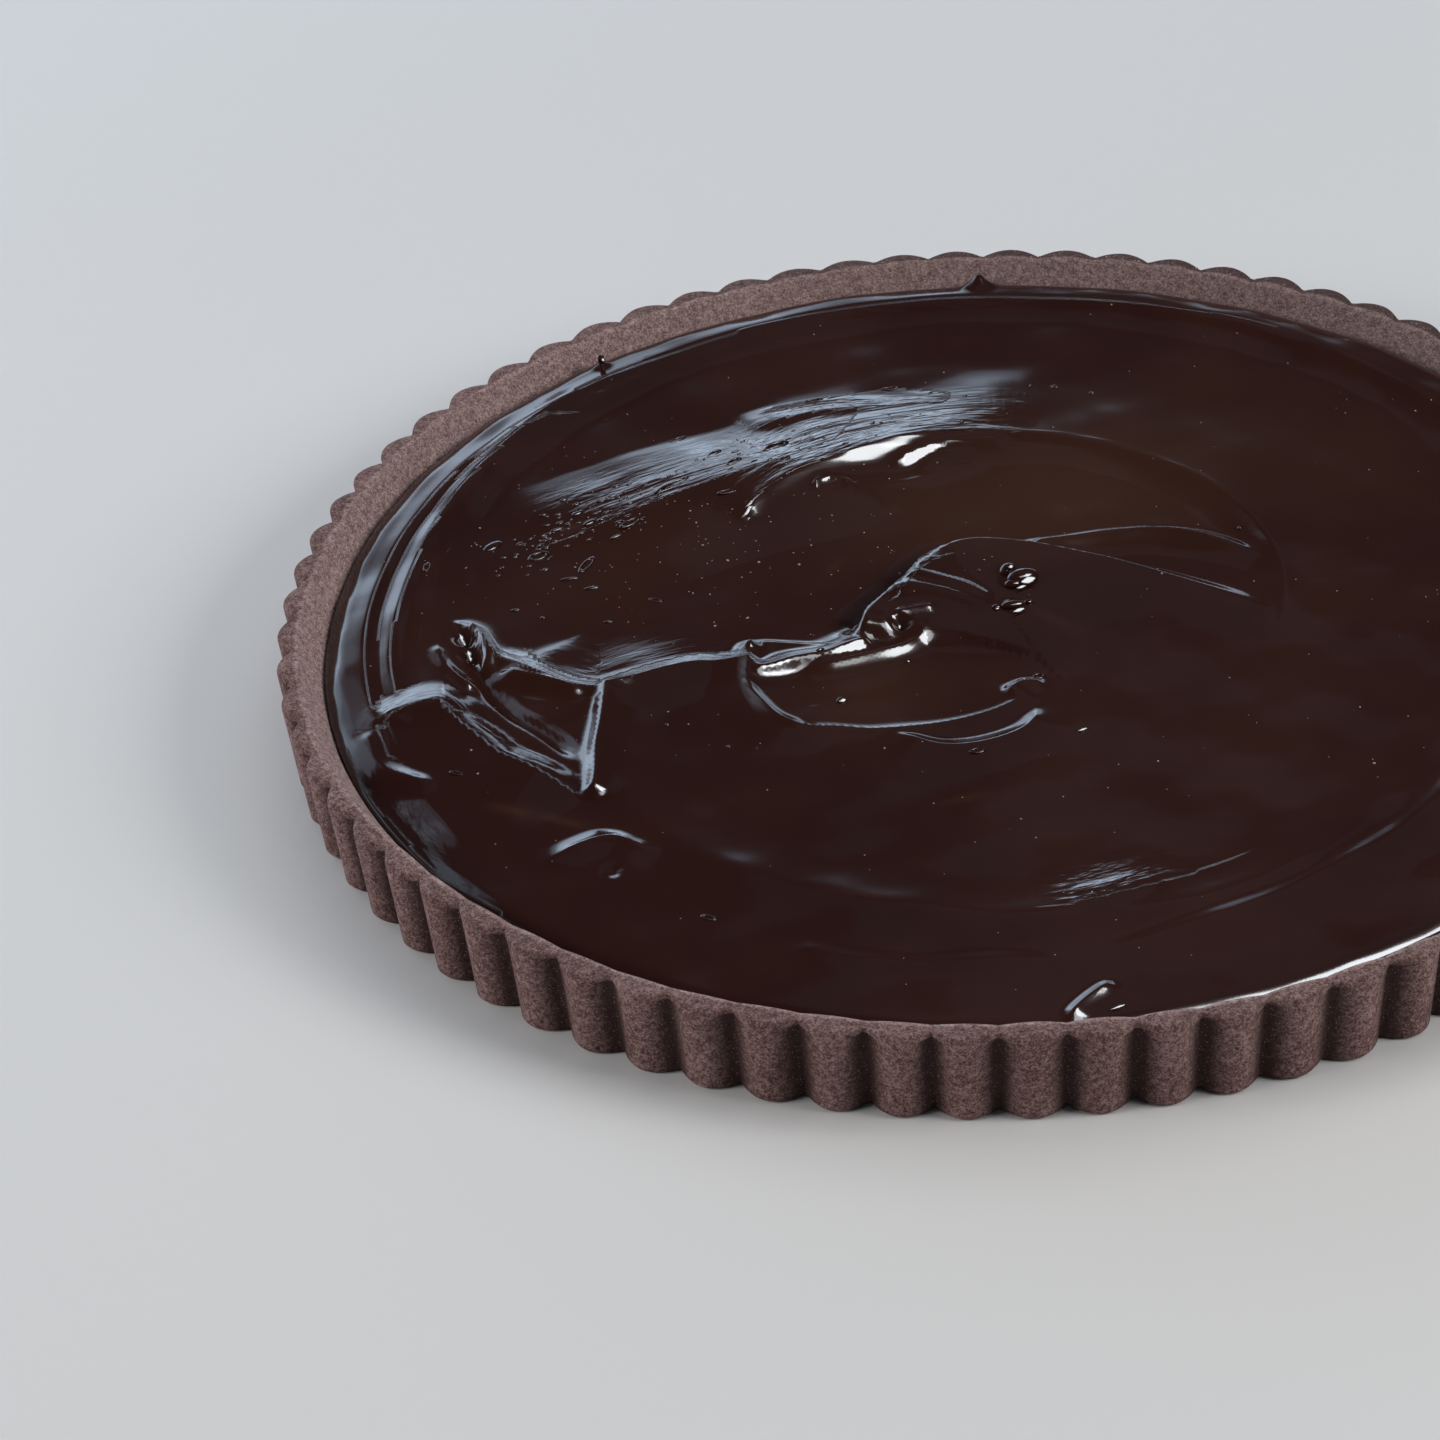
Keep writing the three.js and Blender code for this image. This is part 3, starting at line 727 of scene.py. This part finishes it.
def mark_inside_and_painted_shade(case, rows, level, angle):
    """Stores which points lie on the inner wall, for the finish, and how dark each one is painted:
    painted shade in the grooves of the flutes and on the top of the rim, and darker all over
    towards the back.
    """
    inner_rows = [index for index, row in enumerate(rows) if row[0] == "in"]
    rim_rows = [index for index, (kind, z, _, _) in enumerate(rows)
                if kind == "rim" or kind == "out" and z > 18.5]
    inside = np.isin(level, inner_rows).astype(float)
    # Painted shade: a fixed amount on the top of the rim, and on the flutes deepest in the grooves
    # between them.
    outside = np.where(np.isin(level, rim_rows), RIM_TOP_SHADE, groove(angle) / FLUTE_DEPTH)
    browned = np.where(inside > 0, 0, outside)
    # Darker towards the back, on the outside, the rim and the inner wall.
    browned += BACK_DARKENING * smooth((np.sin(angle + 0.5) - 0.3) / 0.7)
    store(case, "inside", inside)
    store(case, "browned", browned)


# ---- ganache -------------------------------------------------------------------------

TOP_CELLS = 308
HALF_GRID = 1000
SIDE_GAP = 0.3
STREAK_FADE = 0.25
STROKE_SPACING = 0.05


def on_disc(u, v):
    """Turns a square grid into a disc of even cells: each square ring becomes a circle."""
    wide = np.abs(u) > np.abs(v)
    radius = np.where(wide, u, v)
    safe_u = np.where(u == 0, 1, u)
    safe_v = np.where(v == 0, 1, v)
    angle = np.where(wide, math.pi / 4 * v / safe_u, math.pi / 2 - math.pi / 4 * u / safe_v)
    return radius * np.cos(angle), radius * np.sin(angle)


def make_ganache():
    start_clean()
    bpy.ops.mesh.primitive_grid_add(
        x_subdivisions=TOP_CELLS, y_subdivisions=TOP_CELLS, size=2 * HALF_GRID * MM)
    filling = bpy.context.object
    filling.name = "swirled_ganache"
    bpy.ops.object.mode_set(mode="EDIT")
    bpy.ops.mesh.select_all(action="DESELECT")
    bpy.ops.mesh.select_non_manifold()
    bpy.ops.mesh.extrude_edges_move(TRANSFORM_OT_translate={"value": (0, 0, -1 * MM)})
    bpy.ops.mesh.extrude_edges_move(TRANSFORM_OT_translate={"value": (0, 0, -1 * MM)})
    bpy.ops.mesh.edge_face_add()
    bpy.ops.object.mode_set(mode="OBJECT")
    points = get_points(filling) / [HALF_GRID, HALF_GRID, 1]
    level = np.rint(-points[:, 2]).astype(int)
    u, v = on_disc(points[:, 0], points[:, 1])
    angle = np.arctan2(v, u)
    top = level == 0
    side_height = np.choose(level, [LOWEST_GANACHE, KNEE_HEIGHT, FLOOR_HEIGHT])
    side = inner_wall(side_height, angle) - SIDE_GAP
    x, y = u * side, v * side
    flat = np.flatnonzero(top & (np.hypot(u, v) < 0.999))
    top_x, top_y = x[flat], y[flat]
    for crest in ganache_crests() + small_folds():
        crest.gather(top_x, top_y)
    x[flat], y[flat] = top_x, top_y
    points[:, 0], points[:, 1] = x, y
    points[:, 2] = side_height
    points[top, 2] = relief(x[top], y[top])
    set_points(filling, points)
    mark_strokes(filling, points)
    return filling


def mark_strokes(filling, points):
    """Stores how far each point is along and across the stroke beside it, and how much
    the stroke is streaked, for the finish."""
    x, y = points[:, 0], points[:, 1]
    stroke = np.zeros(points.shape)
    streaky = np.zeros(len(points))
    for index, crest in enumerate(ganache_crests() + small_folds()):
        if crest.streaks is None:
            continue
        side_wanted, strong, start, end = crest.streaks
        distance, side, along, _, _ = crest.nearest(x, y)
        reach = crest.left[0] if side_wanted > 0 else crest.right[0]
        here = smooth(1.2 - distance / reach)
        here = here * smooth((along - start) / STREAK_FADE) * smooth((end - along) / STREAK_FADE)
        here = np.where(side == side_wanted, strong * here, 0)
        more = here > streaky
        stroke[more, 0] = (along * crest.length * MM)[more]
        stroke[more, 1] = STROKE_SPACING * index
        stroke[more, 2] = (distance * MM)[more]
        streaky = np.maximum(streaky, here)
    warm = np.zeros(len(points))
    for at_x, at_y, reach, amount in WARM_SPOTS:
        warm += amount * np.exp(-((x - at_x) ** 2 + (y - at_y) ** 2) / reach ** 2)
    for at_x, at_y, length, width, turn, amount in SMEARS:
        a = math.radians(turn)
        ahead = (x - at_x) * math.cos(a) + (y - at_y) * math.sin(a)
        aside = (y - at_y) * math.cos(a) - (x - at_x) * math.sin(a)
        warm += amount * np.exp(-((ahead / length) ** 2) - (aside / width) ** 2)
    store(filling, "warm", np.clip(warm, 0, 1))
    strokes = filling.data.attributes.new("stroke", "FLOAT_VECTOR", "POINT")
    strokes.data.foreach_set("vector", stroke.ravel())
    store(filling, "streaky", streaky)


# ---- bubbles, specks and crumbs ------------------------------------------------------

# Bubbles that have opened, each a thin raised ring: x, y, length, width and turn.
OPEN_BUBBLES = [
    (-43.3, 62.5, 2.6, 1.0, 38), (-51.7, 56.5, 1.7, 0.7, 45), (-41.3, 55.5, 1.2, 0.6, 45),
    (-56, 62, 1.6, 0.6, 48), (-72, 35.9, 2.4, 0.8, 42), (-80.3, 22.7, 2.6, 0.8, 66),
    (-64, 48.9, 3.8, 0.8, 40), (-52.7, 44.4, 1.8, 0.6, 20), (-90.2, 26.6, 2.0, 1.1, 35),
    (-66, 9.5, 1.2, 0.5, 160), (-101, -50, 1.3, 0.5, 160), (-15, 19.5, 1.1, 0.8, 60),
    (-90, 30, 1.2, 0.5, 60), (9, -20, 1.0, 0.7, 20), (-3, -46, 1.3, 0.7, 10),
    (-36, 84, 1.8, 0.6, 20), (-20, 88, 1.6, 0.5, 12), (-64, 70, 1.8, 0.6, 40),
    (-112, 20, 1.4, 0.6, 85), (-52, -96, 1.3, 0.6, -25),
]

# Bubbles still closed and small blobs, each a dome: x, y, length, width, height and turn.
DOMES = [
    (-29, -27, 1.0, 0.8, 0.55, 60), (-16, -14, 0.5, 0.5, 0.4, 0), (6.5, 10.5, 3.2, 2.0, 1.4, 20),
    (3.6, 13.4, 2.0, 1.6, 1.4, 60), (4.6, 8.4, 1.7, 1.1, 0.9, 0), (4.5, 1.6, 2.4, 1.1, 0.8, 10),
    (1.2, 1.4, 1.0, 0.7, 0.6, 0), (7.5, 3.2, 0.9, 0.7, 0.6, 0), (-81, 98, 0.7, 0.6, 1.3, 0),
    (-2, 13.5, 0.4, 0.4, 0.35, 0), (-20, 52, 0.4, 0.4, 0.35, 0), (-33, -13, 0.9, 0.6, 0.5, 20),
    (-50, -42, 0.5, 0.4, 0.3, 0), (-62, -34, 0.45, 0.4, 0.3, 0), (-88, 4, 0.5, 0.4, 0.3, 0),
    (22, 84, 0.6, 0.5, 0.4, 0), (50, 30, 0.5, 0.5, 0.4, 0),
]

# Small ridges that the spoon dragged out, each a long dome: x, y, length, width, height
# and turn.
DRAGGED = [
    (-83.5, 17.7, 1.9, 0.45, 0.36, 10), (-78.9, 14.0, 1.6, 0.5, 0.36, 12),
    (-74.6, 31.8, 1.7, 0.45, 0.36, 36), (-99.7, 30.5, 2.4, 1.2, 0.5, 48),
    (-93.7, 7.2, 1.0, 0.4, 0.3, 10), (-75.1, 2.1, 1.0, 0.35, 0.3, 5),
    (-83, 41.1, 1.5, 0.6, 0.4, 36), (-80.3, 37.3, 1.8, 0.7, 0.4, 40),
    (-87, 35.7, 1.6, 0.45, 0.36, 28), (-90.1, 41.2, 0.9, 0.35, 0.3, 20),
    (-86.2, 46.6, 1.0, 0.4, 0.3, 30), (-88.5, 21.5, 0.8, 0.4, 0.3, 30),
]

DROP_THICKNESS = 0.16
DROP_LEAN = (math.radians(36), 0, math.radians(28))

# Flat drops that face up and forwards to the right: x, y, height above, length and width.
LEANING_DROPS = [
    (7.6, 8.6, 1.0, 1.7, 0.9), (6.2, 7.2, 0.5, 1.2, 0.5), (4.2, 12.2, 1.5, 0.7, 0.6),
    (5.6, -0.2, 0.6, 1.4, 0.6), (1.4, 0.6, 0.3, 0.6, 0.4), (-28.6, -27.6, 0.3, 0.9, 0.6),
    (-16, -14.4, 0.2, 0.45, 0.4), (-80.6, 97.0, 1.3, 0.5, 0.7), (-20, 51.8, 0.2, 0.35, 0.3),
    (-33, -13.4, 0.2, 0.5, 0.35), (17, -39, 0.2, 1.2, 0.4), (21, -125, 0.3, 1.6, 0.4),
]


def joined(name, made):
    """Turns many small shapes into one piece that stands at the origin."""
    bpy.ops.object.select_all(action="DESELECT")
    for shape in made:
        shape.select_set(True)
    bpy.context.view_layer.objects.active = made[0]
    bpy.ops.object.transform_apply(location=True, rotation=True, scale=True)
    bpy.ops.object.join()
    made[0].name = name
    return made[0]


def laid(shape, x, y, z, scale, turn):
    shape.location = (x * MM, y * MM, z * MM)
    shape.rotation_euler = (0, 0, turn)
    shape.scale = [MM * size for size in scale]
    return shape


def dragged_ridges(count, seed):
    """The listed ridges, and many smaller ones scattered round the start of the curl."""
    random = np.random.default_rng(seed)
    ridges = list(DRAGGED)
    for index in range(count):
        spread = random.normal(0, 1, 2)
        if index % 3:
            x, y = -82 + 8.5 * spread[0], 37 + 0.75 * 8.5 * spread[0] + 4.5 * spread[1]
        else:
            x, y = -48 + 24 * spread[0], 60 + 0.42 * 24 * spread[0] + 5 * spread[1]
        length = random.uniform(0.25, 0.95)
        width = length * random.uniform(0.25, 0.5)
        ridges.append((x, y, length, width, random.uniform(0.1, 0.24), random.normal(34, 9)))
    return [ridge for ridge in ridges if math.hypot(ridge[0], ridge[1]) < 112]


def level_at(x, y):
    return relief(np.array([x]), np.array([y]))[0]


def domes(listed, subdivisions):
    made = []
    for x, y, length, width, tall, turn in listed:
        bpy.ops.mesh.primitive_ico_sphere_add(subdivisions=subdivisions, radius=1.0)
        size = (length, width, tall)
        made.append(laid(bpy.context.object, x, y, level_at(x, y), size, math.radians(turn)))
    return made


def make_bubbles():
    start_clean()
    made = domes(dragged_ridges(count=150, seed=11), subdivisions=3)
    for x, y, length, width, turn in OPEN_BUBBLES:
        bpy.ops.mesh.primitive_torus_add(
            major_segments=24, minor_segments=8, major_radius=1.0, minor_radius=0.26)
        size = (length, width, min(1.2, width))
        made.append(laid(bpy.context.object, x, y, level_at(x, y), size, math.radians(turn)))
    made += domes(DOMES, subdivisions=4)
    for x, y, above, length, width in LEANING_DROPS:
        bpy.ops.mesh.primitive_ico_sphere_add(subdivisions=4, radius=1.0)
        size = (length, width, DROP_THICKNESS)
        drop = laid(bpy.context.object, x, y, level_at(x, y) + above, size, 0)
        drop.rotation_euler = DROP_LEAN
        made.append(drop)
    return joined("ganache_bubbles", made)


def make_specks(count, seed):
    """Tiny pale specks and crumbs that lie on the ganache."""
    start_clean()
    random = np.random.default_rng(seed)
    radius = 122 * np.sqrt(random.uniform(0, 1, count))
    angle = random.uniform(0, FULL_TURN, count)
    x, y = radius * np.cos(angle), radius * np.sin(angle)
    near = count // 2
    x[:near] = random.normal(-62, 26, near)
    y[:near] = random.normal(34, 24, near)
    inside = np.hypot(x, y) < 124
    x, y = x[inside], y[inside]
    size = random.uniform(0.07, 0.17, len(x))
    size *= np.where(random.uniform(0, 1, len(x)) < 0.12, 1.8, 1.0)
    z = relief(x, y)
    made = []
    for index in range(len(x)):
        bpy.ops.mesh.primitive_ico_sphere_add(subdivisions=1, radius=1.0)
        scale = size[index] * random.uniform((0.8, 0.8, 0.6), (1.5, 1.1, 0.9))
        turn = random.uniform(0, FULL_TURN)
        made.append(laid(bpy.context.object, x[index], y[index], z[index], scale, turn))
    return joined("ganache_specks", made)


def make_crumbs(count, seed):
    """Grains that stand out of the top of the rim."""
    start_clean()
    random = np.random.default_rng(seed)
    made = []
    for _ in range(count):
        bpy.ops.mesh.primitive_ico_sphere_add(subdivisions=1, radius=1.0)
        angle = random.uniform(0, FULL_TURN)
        radius = mix(*rim_edges(angle), random.uniform(0.05, 0.95))
        size = random.uniform(0.16, 0.42) * random.uniform((0.8, 0.8, 0.6), (1.3, 1.1, 0.9))
        z = CASE_HEIGHT - rim_drop(angle) - 0.05
        x, y = radius * math.cos(angle), radius * math.sin(angle)
        made.append(laid(bpy.context.object, x, y, z, size, random.uniform(0, FULL_TURN)))
    return joined("crust_crumbs", made)


def speck_finish():
    sheet = Sheet("pale specks")
    cloudy = sheet.noise(sheet.place(), 90.0, 1.0)
    tone = sheet.blend(cloudy, colour(0.16, 0.09, 0.06), colour(0.50, 0.42, 0.37))
    return sheet.finish(Base_Color=tone, Roughness=0.35)


# ---- camera, light and floor ---------------------------------------------------------

CAMERA_DISTANCE = 1.0236
CAMERA_ELEVATION = math.radians(33.154)
CAMERA_YAW = math.radians(-2.975)
CAMERA_PITCH = math.radians(-1.258)
CAMERA_ROLL = math.radians(-1.241)
CAMERA_LENS = 131.12


def make_camera():
    camera = bpy.data.objects.new("camera", bpy.data.cameras.new("camera"))
    bpy.context.collection.objects.link(camera)
    camera.data.lens = CAMERA_LENS
    camera.data.sensor_width = 36.0
    forward = Vector((0, math.cos(CAMERA_ELEVATION), -math.sin(CAMERA_ELEVATION)))
    right = Vector((1, 0, 0))
    up = right.cross(forward)
    forward, right = (
        forward * math.cos(CAMERA_YAW) + right * math.sin(CAMERA_YAW),
        right * math.cos(CAMERA_YAW) - forward * math.sin(CAMERA_YAW),
    )
    forward, up = (
        forward * math.cos(CAMERA_PITCH) + up * math.sin(CAMERA_PITCH),
        up * math.cos(CAMERA_PITCH) - forward * math.sin(CAMERA_PITCH),
    )
    right, up = (
        right * math.cos(CAMERA_ROLL) + up * math.sin(CAMERA_ROLL),
        up * math.cos(CAMERA_ROLL) - right * math.sin(CAMERA_ROLL),
    )
    turn = Matrix((right, up, -forward)).transposed().to_4x4()
    height = CASE_HEIGHT * MM + CAMERA_DISTANCE * math.sin(CAMERA_ELEVATION)
    spot = Vector((0, -CAMERA_DISTANCE * math.cos(CAMERA_ELEVATION), height))
    camera.matrix_world = Matrix.Translation(spot) @ turn
    bpy.context.scene.camera = camera


def soft_light(name, azimuth, elevation, distance, wide, tall, radiance, tint,
               seen_in_gloss=True, lights_up=True):
    """A soft box aimed at the middle of the tart. Azimuth 0 is straight behind it and 90
    to its right; radiance is how bright its face looks. One that lights nothing up only
    shows in glossy surfaces, and one not seen in gloss only lights things up."""
    light = bpy.data.lights.new(name, "AREA")
    light.shape = "RECTANGLE"
    light.size = wide
    light.size_y = tall
    light.energy = radiance * math.pi * wide * tall
    light.color = tint
    lamp = bpy.data.objects.new(name, light)
    bpy.context.collection.objects.link(lamp)
    a, e = math.radians(azimuth), math.radians(elevation)
    away = Vector((math.sin(a) * math.cos(e), math.cos(a) * math.cos(e), math.sin(e)))
    lamp.location = away * distance
    lamp.rotation_mode = "QUATERNION"
    lamp.rotation_quaternion = away.to_track_quat("Z", "Y")
    lamp.visible_camera = False
    lamp.visible_glossy = seen_in_gloss
    lamp.visible_diffuse = lights_up
    return lamp


# A soft light with faint edges is built from this many nested panels of growing size.
PANELS = 4


def make_light():
    world = bpy.data.worlds.new("dim room")
    bpy.context.scene.world = world
    world.use_nodes = True
    backdrop = world.node_tree.nodes["Background"]
    backdrop.inputs["Color"].default_value = (0.9, 0.95, 1.0, 1.0)
    backdrop.inputs["Strength"].default_value = 0.05
    cool = (0.64, 0.80, 1.0)
    bright = (0.93, 0.97, 1.0)
    white = (1.0, 0.98, 0.96)
    for number in range(PANELS):
        name = f"low band behind {number + 1}"
        wide, tall = 1.44 + 0.19 * number, 0.40 + 0.04 * number
        soft_light(name, -45 + 2.8 * number, 11, 1.4, wide, tall, 0.62, cool)
    soft_light("low band halo", -35, 13, 1.45, 1.95, 0.66, 0.8, cool)
    soft_light("low band left", -66, 9, 1.4, 1.2, 0.34, 1.2, cool)
    soft_light("low glow behind", 10, 8, 1.4, 0.9, 0.30, 1.5, cool)
    soft_light("window", -48, 29, 1.8, 0.62, 0.80, 0.60, cool)
    soft_light("window halo", -46, 29, 1.9, 0.95, 1.05, 0.40, cool)
    for number in range(PANELS):
        name = f"grey ceiling {number + 1}"
        wide, tall = 0.9 + 0.3 * number, 0.6 + 0.22 * number
        soft_light(name, 29, 56, 2.0, wide, tall, 0.085, cool, lights_up=False)
    soft_light("key core", 98, 60, 1.6, 0.75, 0.6, 24.0, bright, lights_up=False)
    soft_light("key tail", 138, 71, 1.6, 0.60, 0.40, 10.0, bright, lights_up=False)
    for number in range(PANELS):
        name = f"key halo {number + 1}"
        wide, tall = 0.9 + 0.2 * number, 0.72 + 0.16 * number
        soft_light(name, 104, 58, 1.7, wide, tall, 0.30, bright, lights_up=False)
    soft_light("overhead fill", 10, 62, 2.4, 2.0, 2.0, 1.1, white, seen_in_gloss=False)
    soft_light("right fill", 104, 32, 1.8, 0.8, 0.8, 9.5, white, seen_in_gloss=False)
    soft_light("left fill", -110, 28, 1.8, 0.8, 0.8, 7.5, white, seen_in_gloss=False)


def make_floor():
    start_clean()
    bpy.ops.mesh.primitive_plane_add(size=8.0)
    floor = bpy.context.object
    floor.name = "floor"
    floor.data.materials.append(floor_finish())


# ---- the tart ------------------------------------------------------------------------

def dress(piece, material):
    piece.data.materials.clear()
    piece.data.materials.append(material)
    for face in piece.data.polygons:
        face.use_smooth = True
    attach(piece, "root")


def main():
    bpy.context.scene.view_settings.view_transform = "Standard"
    make_camera()
    make_light()
    make_floor()
    case = make_case()
    dress(case, pastry_finish())
    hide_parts("pastry_case")
    filling = make_ganache()
    dress(filling, ganache_finish())
    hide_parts("chocolate_ganache")
    dress(make_bubbles(), ganache_finish("dark ganache of the bubbles"))
    dress(make_specks(count=420, seed=5), speck_finish())
    crumbs = make_crumbs(count=420, seed=9)
    dress(crumbs, pastry_finish("baked cocoa pastry of the crumbs"))


main()
